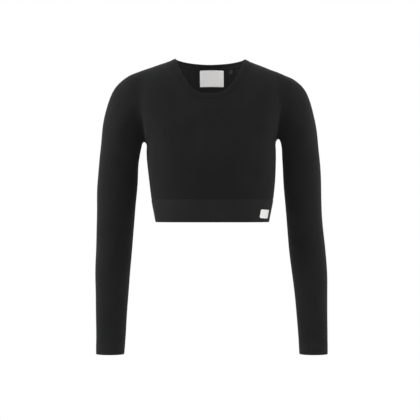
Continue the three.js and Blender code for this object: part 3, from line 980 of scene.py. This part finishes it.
def capsule(sides):
    """A thread along x from -1 to 1: rings of cosine and sine times a radius that falls to the
    two ends, closed by flat caps."""
    places, widths = THREAD_RINGS.T
    turn = np.arange(sides) * 2 * np.pi / sides
    x = np.repeat(places[:, None], sides, axis=1)
    y = widths[:, None] * np.cos(turn)
    z = widths[:, None] * np.sin(turn)
    points = np.stack([x, y, z], axis=-1).reshape(-1, 3)
    index = np.arange(len(points)).reshape(-1, sides)
    wall = cells(closed(index))
    caps = []
    for ring in (index[0][::-1], index[-1]):
        caps += [[ring[0], ring[i], ring[i + 1], ring[i + 2]] for i in range(1, sides - 2, 2)]
    return points, np.concatenate([wall, np.array(caps)])


def stitch_piece(name, lines, thick=STITCH_THICK, pitch=STITCH_PITCH, long=STITCH_LONG, lean=0):
    """Equal stitches along lines of points: each is its middle plus a capsule's x along the
    line, y beside it and z along the normal.

    With a lean, every other stitch turns that many degrees to one side, the rest to the other.
    """
    template, faces = capsule(THREAD_SIDES)
    all_points = []
    for line, normals in lines:
        run = run_along(line, 0)
        count = max(2, round(run[-1] / pitch))
        at = (np.arange(count) + 0.5) * run[-1] / count
        ahead = read_line(at + THREAD_AHEAD, run, line)
        behind = read_line(at - THREAD_AHEAD, run, line)
        normal = unit(read_line(at, run, normals))
        along = unit(ahead - behind)
        turn = np.radians(lean) * (-1.0) ** np.arange(count)[:, None]
        along = along * np.cos(turn) + np.cross(normal, along) * np.sin(turn)
        beside = np.cross(normal, along)
        axes = np.stack([along * long, beside * thick, normal * thick], axis=1) / 2
        placed = read_line(at, run, line)[:, None] + template @ axes
        all_points.append(placed.reshape(-1, 3))
    points = np.concatenate(all_points)
    offsets = np.arange(len(points) // len(template)) * len(template)
    every = (offsets[:, None, None] + faces[None]).reshape(-1, 4)
    grain = np.tile(template[:, :2], (len(offsets), 1))
    return make_mesh(name, points, every, grain, every, sharp=80)


def closed_line(points, height):
    """A closed line of points, each plus its normal times a height, with the normals."""
    normal = outward(points)
    lifted = points + normal * height[..., None]
    return np.concatenate([lifted, lifted[:1]]), np.concatenate([normal, normal[:1]])


# Finishes

class Wire:
    """One socket among a material's nodes. Sums and products of wires add Math nodes."""

    def __init__(self, tree, socket=None):
        self.tree = tree
        self.socket = socket

    def node(self, kind, settings=None, inputs=None, output=0):
        """Adds a node: first its settings, then the values or links of its sockets."""
        made = self.tree.nodes.new(kind)
        for name, value in (settings or {}).items():
            setattr(made, name, value)
        for name, value in (inputs or {}).items():
            if isinstance(value, Wire):
                self.tree.links.new(value.socket, made.inputs[name])
            else:
                made.inputs[name].default_value = value
        return Wire(self.tree, made.outputs[output])

    def math(self, operation, *values):
        """Adds a Math node with these values or wires."""
        return self.node("ShaderNodeMath", {"operation": operation}, dict(enumerate(values)))

    def __add__(self, other):
        return self.math("ADD", self, other)

    __radd__ = __add__

    def __sub__(self, other):
        return self.math("SUBTRACT", self, other)

    def __rsub__(self, other):
        return self.math("SUBTRACT", other, self)

    def __mul__(self, other):
        return self.math("MULTIPLY", self, other)

    __rmul__ = __mul__

    def __truediv__(self, other):
        return self.math("DIVIDE", self, other)

    def __pow__(self, other):
        return self.math("POWER", self, other)


def object_place(wire):
    """The place on the piece, in metres."""
    return wire.node("ShaderNodeTexCoord", {}, {}, "Object")


def noise(wire, scale, detail, roughness=0.5):
    """Blender's noise on the piece, from 0 to 1, with this many patches to the metre."""
    sockets = {"Scale": scale, "Detail": detail, "Roughness": roughness}
    return wire.node("ShaderNodeTexNoise", {}, {"Vector": object_place(wire), **sockets})


def bump(wire, height, strength, distance):
    """Normals as if the face stood out by the height times the distance."""
    sockets = {"Strength": strength, "Distance": distance, "Height": height}
    return wire.node("ShaderNodeBump", {}, sockets)


def grain_of(wire):
    """The two numbers of the grain map, across the wales and along them, in metres."""
    uv = wire.node("ShaderNodeUVMap", {"uv_map": "grain"})
    return [wire.node("ShaderNodeSeparateXYZ", {}, {0: uv}, k) for k in (0, 1)]


def grey(value, warmth=0.0):
    """A grey, with its red raised and its blue lowered by the warmth."""
    return (value * (1 + warmth), value, value * (1 - warmth), 1)


def blend_greys(wire, share, dark, light, warmth):
    """The dark grey plus the share of the way to the light one, which may pass either."""
    settings = {"data_type": "RGBA", "clamp_factor": False}
    sockets = {0: share, 6: grey(dark, warmth), 7: grey(light, warmth)}
    return wire.node("ShaderNodeMix", settings, sockets, 2)


def finish(name, colour, roughness, normal, fixed):
    """A Principled material: what varies is linked, and what doesn't is set on its socket."""
    material = bpy.data.materials.new(name)
    material.use_nodes = True
    tree = material.node_tree
    shader = tree.nodes["Principled BSDF"]
    wire = Wire(tree)
    tree.links.new(colour(wire).socket, shader.inputs["Base Color"])
    tree.links.new(roughness(wire).socket, shader.inputs["Roughness"])
    tree.links.new(normal(wire).socket, shader.inputs["Normal"])
    for socket, value in fixed.items():
        shader.inputs[socket].default_value = value
    return material


# The knit's rib and row, and its noises in patches to the metre
WALE = 0.0009
COURSE = 0.00065
YARN_PATCHES = 420
TONE_PATCHES = 17
FUZZ_PATCHES = 900
COOLNESS = -0.012


def face_height(wire):
    """Plain knit: one less the cube of the distance from each wale's middle, plus a sine for
    the loops, which that distance shifts into a V."""
    u, v = grain_of(wire)
    side = wire.math("ABSOLUTE", wire.math("FRACT", u / WALE) - 0.5) * 2
    loop = wire.math("SINE", (v / COURSE + side * 0.55) * (2 * math.pi))
    return (1 - side ** 3) * 0.6 + loop * 0.3


def reverse_height(wire):
    """The reverse of plain knit: a sine along the cloth, shifted into arches by one across."""
    u, v = grain_of(wire)
    arch = wire.math("SINE", u * (2 * math.pi / WALE))
    return wire.math("SINE", (v / COURSE + arch * 0.2) * (2 * math.pi)) * 0.5


def knit_finish(name, dark, light, knit_height, cuff_hem_painted_light=0.0):
    """Fine knit: mottled yarn and bumped loops, and painted light on the hems of the cuffs: a
    lighter tone below the upper stitch row.
    """
    def mottle(wire):
        """Half a fine noise plus a broad one, brought to a mean of about a half."""
        fine = noise(wire, YARN_PATCHES, 3.0, 0.6)
        broad = noise(wire, TONE_PATCHES, 2.0)
        return fine * 0.5 + broad * 1.3 - 0.4

    def colour(wire):
        """From dark to light by the mottle, and lighter on top of the loops and darker between
        them: painted light and shade.
        """
        share = mottle(wire) + knit_height(wire) * 0.4 - 0.14
        # Painted light: the cloth is lighter below the upper cuff stitch row.
        if cuff_hem_painted_light:
            height = wire.node("ShaderNodeSeparateXYZ", {}, {0: object_place(wire)}, 2)
            share = share + wire.math("LESS_THAN", height, CUFF_STITCH_ROWS[1] / 1000) * cuff_hem_painted_light
        share = wire.math("MINIMUM", wire.math("MAXIMUM", share, 0), 2)
        return blend_greys(wire, share, dark, light, COOLNESS)

    def roughness(wire):
        """A little rougher where the mottle is light."""
        return 0.82 + mottle(wire) * 0.12

    def normal(wire):
        """The bump of the loops, plus a finer noise for fuzz."""
        return bump(wire, knit_height(wire) + noise(wire, FUZZ_PATCHES, 1.0) * 0.3, 0.5, 0.0002)

    fixed = {
        "Specular IOR Level": 0.05,
        "Sheen Weight": 0.03,
        "Sheen Roughness": 0.5,
        "Sheen Tint": (1, 1, 1, 1),
    }
    return finish(name, colour, roughness, normal, fixed)


# The noise of tapes and threads, in patches to the metre
TAPE_PATCHES = 140


def tape_finish(name, dark, light, pitch=0.0005, strength=0.25, warmth=0.0, gloss=0.3):
    """Woven tape or thread: fine crossed ribs and a mottled tone."""
    def weave(wire):
        """A sine across the tape times one along it."""
        u, v = grain_of(wire)
        warp = wire.math("SINE", u * (2 * math.pi / pitch))
        weft = wire.math("SINE", v * (2 * math.pi / pitch))
        return warp * weft

    def colour(wire):
        """From dark to light by a noise, and a little by the weave."""
        share = noise(wire, TAPE_PATCHES, 3.0, 0.6) + weave(wire) * 0.1
        return blend_greys(wire, share, dark, light, warmth)

    def roughness(wire):
        """A little rougher on top of the weave."""
        return 0.62 + weave(wire) * 0.08

    def normal(wire):
        """The bump of the weave."""
        return bump(wire, weave(wire), strength, 0.0001)

    fixed = {"Specular IOR Level": gloss, "Sheen Weight": gloss / 4, "Sheen Roughness": 0.5}
    return finish(name, colour, roughness, normal, fixed)


# Putting the pieces together

def put(piece, materials, nodes=()):
    """Gives a piece its finishes, its body and the nodes that it stands for."""
    for material in materials:
        piece.data.materials.append(material)
    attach(piece, "root")
    if nodes:
        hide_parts(*nodes)
    return piece


def lay_out():
    """The grids of the neckband, the hem band and the sleeves, and the panels between them."""
    neck = neck_rows(np.linspace(0, NECKBAND_WIDE, NECKBAND_ROWS + 1))
    hem_turn = turn_of(lambda angle: body_point(angle, HEM_SEAM + 0 * angle))
    hem_heights = HEM_SEAM + (HEM_EDGE - HEM_SEAM) * spread(HEM_BAND_ROWS, HEM_BAND_CROWD)
    hem = body_point(hem_turn[None], hem_heights[:, None])
    sleeves = {side: sleeve_grid(side) for side in OUT}
    panels = {}
    for name, half in (("front", front_half), ("back", back_half)):
        bottom = half(hem[0])
        top = half(neck[-1])
        edges = []
        for side, end in (("right", 0), ("left", -1)):
            ring = closed(sleeves[side][:1])[0]
            ring = ring[::-1] if name == "back" else ring
            edges.append(panel_edge(bottom[end], ring[:ARMHOLE_ROWS + 1], top[end]))
        panels[name] = panel_grid(bottom, top, *edges)
    return neck, hem, sleeves, panels


def put_cloth(neck, hem, sleeves, panels):
    """The six pieces of knit, each with a finish for its outer face and one for its inside."""
    # The inside finish is two to three times lighter than the outside knit: the reverse of the
    # knit is a little lighter in itself, and the rest is painted light on the inside of the cloth,
    # where little light reaches.
    reverse = knit_finish("knit_reverse_with_painted_light", 0.0156, 0.0220, reverse_height)
    body_knit = [knit_finish("fine_black_knit", 0.0047, 0.0074, face_height), reverse]
    # The sleeves' outside finish is a lighter copy of the body knit: painted light that lifts the
    # shade on their inner sides.
    sleeve_knit_with_painted_light = [knit_finish("sleeve_knit_with_painted_light", 0.0052, 0.0080, face_height, cuff_hem_painted_light=0.3), reverse]
    neck_knit = [
        # The neckband's outside finish is a darker copy of the body knit: painted shade on the
        # neckband.
        knit_finish("neckband_knit_painted_shade", 0.0042, 0.0066, face_height),
        # The neckband's inside finish is about two and a half times lighter than its outside:
        # painted light on the inside of the band, which lies in shade.
        knit_finish("neckband_inside_painted_light_knit", 0.0115, 0.0160, face_height),
    ]
    # The hem band's finish is lighter than the body knit: partly its doubled cloth, partly painted
    # light on the band.
    band_knit = [knit_finish("doubled_knit_and_painted_light", 0.0070, 0.0104, face_height)] * 2
    cloth = {}
    for name, grid in panels.items():
        piece = panel_piece(f"{name}_cloth", grid)
        cloth[name] = put(piece, body_knit, [f"{name}_panel"])
    for side, grid in sleeves.items():
        piece = sleeve_piece(f"sleeve_{side}_cloth", grid)
        cloth[side] = put(piece, sleeve_knit_with_painted_light, [f"sleeve_{side}"])
    cloth["neckband"] = put(neckband_piece(neck), neck_knit, ["neckband"])
    cloth["hem_band"] = put(hem_band_piece(hem), band_knit, ["hem_band"])
    return cloth


# How high the stitches lie over the cloth, and how far the overlocking lies under it
NECK_STITCH_LIFT = 0.08
CUFF_STITCH_LIFT = 0.02
UNDER_BAND_SEAM = 0.5
UNDER_SEAM = 0.35


def put_stitches(neck, hem, sleeves, panels):
    """Twin rows round the neck and the cuffs, and overlocked seams inside."""
    thread = [tape_finish("black_thread", 0.006, 0.009, 0.0004, 0.3, gloss=0.06)]
    overlock = [tape_finish("overlock_thread", 0.018, 0.03, 0.0004, 0.3, gloss=0.08)]

    lines = []
    outside = [NECKBAND_WIDE + distance for distance in NECK_STITCH_ROWS]
    for row, distance in zip(neck_rows([0, NECKBAND_WIDE] + outside)[2:], NECK_STITCH_ROWS):
        groove = pressed(distance, NECK_SEAM_LINES)
        lines.append(closed_line(row, relief(row) + groove + NECK_STITCH_LIFT))
    put(stitch_piece("neck_topstitch", lines), thread)

    for side, grid in sleeves.items():
        lines = []
        for height in CUFF_STITCH_ROWS:
            row = grid[np.argmin(abs(grid[:, 0, 2] - height))]
            lines.append(closed_line(row, relief(row) + CUFF_STITCH_LIFT))
        put(stitch_piece(f"cuff_stitches_{side}", lines), thread)

    lines = []
    for row in (neck[-1], hem[0]):
        lines.append(closed_line(row, relief(row) - CLOTH - UNDER_BAND_SEAM))
    for grid in sleeves.values():
        lines.append(closed_line(grid[0], relief(grid[0]) - CLOTH - UNDER_SEAM))
    for column in (0, -1):
        side_seam = panels["front"][:SIDE_ROWS, column]
        normal = outward(side_seam)
        depth = relief(side_seam) - CLOTH - UNDER_SEAM
        lines.append((side_seam + normal * depth[:, None], normal))
    put(stitch_piece("overlocked_seams", lines, *OVERLOCK), overlock)


# Where the label and tab hang from the neck seam: across and down, and their turn in radians
LABEL_HANGS = (1.7, 1, 0)
TAB_HANGS = (44, 3.5, -0.3)

# The middle of the tag, across and in height, its turn in radians and its corner radius
TAG_MIDDLE = (114.6, -332.5)
TAG_TURN = -0.06
TAG_CORNER = 3.0

# The near and the far face as heights over the form, and how much the label's ends stand out
LABEL_FACES = (-1.5, -2.15, 0.45)
TAB_FACES = (-1.5, -2.2)
TAG_FACES = (BAND_PROUD + 0.25, BAND_PROUD + 0.95)


def put_labels(neck_seam):
    """The label and the tab inside the back of the neck, and the tag on the hem band."""
    # The label tape is about twice as light as the tag tape: a white label, lifted further by
    # painted light against the shade inside the neck.
    label_tape = [tape_finish("white_label_tape_painted_light", 0.91, 0.98, warmth=0.01)] * 2
    tag_tape = [tape_finish("white_tag_tape", 0.45, 0.52, warmth=0.01)] * 2
    dark_tape = [tape_finish("dark_woven_tape", 0.03, 0.042)] * 2
    back_seam = back_half(neck_seam)

    def hung(size, hangs, counts):
        """A plate whose top is walked down from the seam at its place across."""
        across, below, turn = hangs
        place = read_line(across, back_seam[:, 0], back_seam)
        return laid_grid(walk(seat(place), -UP, below), *size, turn, *counts)

    label = laid_piece("label_woven", *hung(LABEL_SIZE, LABEL_HANGS, LABEL_CELLS), *LABEL_FACES)
    put(label, label_tape, ["neck_label"])
    tab = laid_piece("size_tab_woven", *hung(TAB_SIZE, TAB_HANGS, TAB_CELLS), *TAB_FACES)
    put(tab, dark_tape, ["size_tab"])

    across, height = TAG_MIDDLE
    tag_top = reach(np.array([across, -FAR_OFF, height + TAG_SIZE[1] / 2]), -TO_FRONT)
    tag_grid = laid_grid(tag_top, *TAG_SIZE, TAG_TURN, *TAG_CELLS, corner=TAG_CORNER)
    tag = laid_piece("hem_tag_woven", *tag_grid, *TAG_FACES)
    put(tag, tag_tape, ["hem_tag"])
    return label, tab, tag


def dress():
    grids = lay_out()
    cloth = put_cloth(*grids)
    put_stitches(*grids)
    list(put_labels(grids[0][-1]))


# Studio, in metres

# How bright the white world is as a light: the camera sees it plain white
WORLD_LIGHT = 1.1
FLOOR_HEIGHT = -2.2
FLOOR_RADIUS = 4.4
FLOOR_CORNERS = 96
LENS = 127.6
SENSOR = 36
CAMERA_PLACE = (-0.00215, -3.2, -0.3240)

# The lights: name, place, the point that each faces, side and power
SOFTBOXES = [
    ("left_softbox", (-2.5, -0.5, 0.9), (0, 0, -0.2), 1.2, 78),
    ("right_softbox", (2.5, -0.5, 0.9), (0, 0, -0.2), 1.2, 46),
    ("front_softbox", (-0.2, -3.1, 0.7), (0, 0, -0.1), 1.0, 32),
    ("back_softbox", (0.4, 3.2, 1.0), (0, 0, -0.2), 1.4, 40),
]


def make_floor():
    """A plain pale disc well below the garment, with its rim at cosine and sine."""
    turn = np.arange(FLOOR_CORNERS) * 2 * np.pi / FLOOR_CORNERS
    x = FLOOR_RADIUS * np.cos(turn)
    y = FLOOR_RADIUS * np.sin(turn)
    rim = np.stack([x, y, FLOOR_HEIGHT + 0 * turn], axis=-1)
    mesh = bpy.data.meshes.new("studio_floor")
    mesh.from_pydata(rim.tolist(), [], [list(range(FLOOR_CORNERS))])
    floor = bpy.data.objects.new("studio_floor", mesh)
    bpy.context.scene.collection.objects.link(floor)
    material = bpy.data.materials.new("pale_floor")
    material.use_nodes = True
    shader = material.node_tree.nodes["Principled BSDF"]
    shader.inputs["Base Color"].default_value = grey(0.85)
    shader.inputs["Roughness"].default_value = 0.9
    mesh.materials.append(material)


def soft_light(name, place, target, side, power):
    """A square light, tipped and turned to face a point by arc tangents of the way from it."""
    data = bpy.data.lights.new(name, "AREA")
    data.size = side
    data.energy = power
    lamp = bpy.data.objects.new(name, data)
    away = np.array(place) - np.array(target)
    tip = math.atan2(math.hypot(away[0], away[1]), away[2])
    lamp.rotation_euler = (tip, 0, math.atan2(away[0], -away[1]))
    lamp.location = place
    bpy.context.scene.collection.objects.link(lamp)


def make_studio():
    """A white world, four soft lights, the floor, and a level camera straight in front."""
    scene = bpy.context.scene
    world = bpy.data.worlds.new("white_studio")
    world.use_nodes = True
    sky = world.node_tree.nodes["Background"]
    sky.inputs["Color"].default_value = grey(1)
    seen = Wire(world.node_tree).node("ShaderNodeLightPath", {}, {}, "Is Camera Ray")
    strength = seen * (1 - WORLD_LIGHT) + WORLD_LIGHT
    world.node_tree.links.new(strength.socket, sky.inputs["Strength"])
    scene.world = world
    scene.view_settings.view_transform = "Standard"
    for softbox in SOFTBOXES:
        soft_light(*softbox)
    lens = bpy.data.cameras.new("camera")
    lens.lens = LENS
    lens.sensor_width = SENSOR
    lens.clip_end = 100
    camera = bpy.data.objects.new("camera", lens)
    camera.location = CAMERA_PLACE
    camera.rotation_euler = (math.pi / 2, 0, 0)
    scene.collection.objects.link(camera)
    scene.camera = camera
    make_floor()


make_studio()
dress()
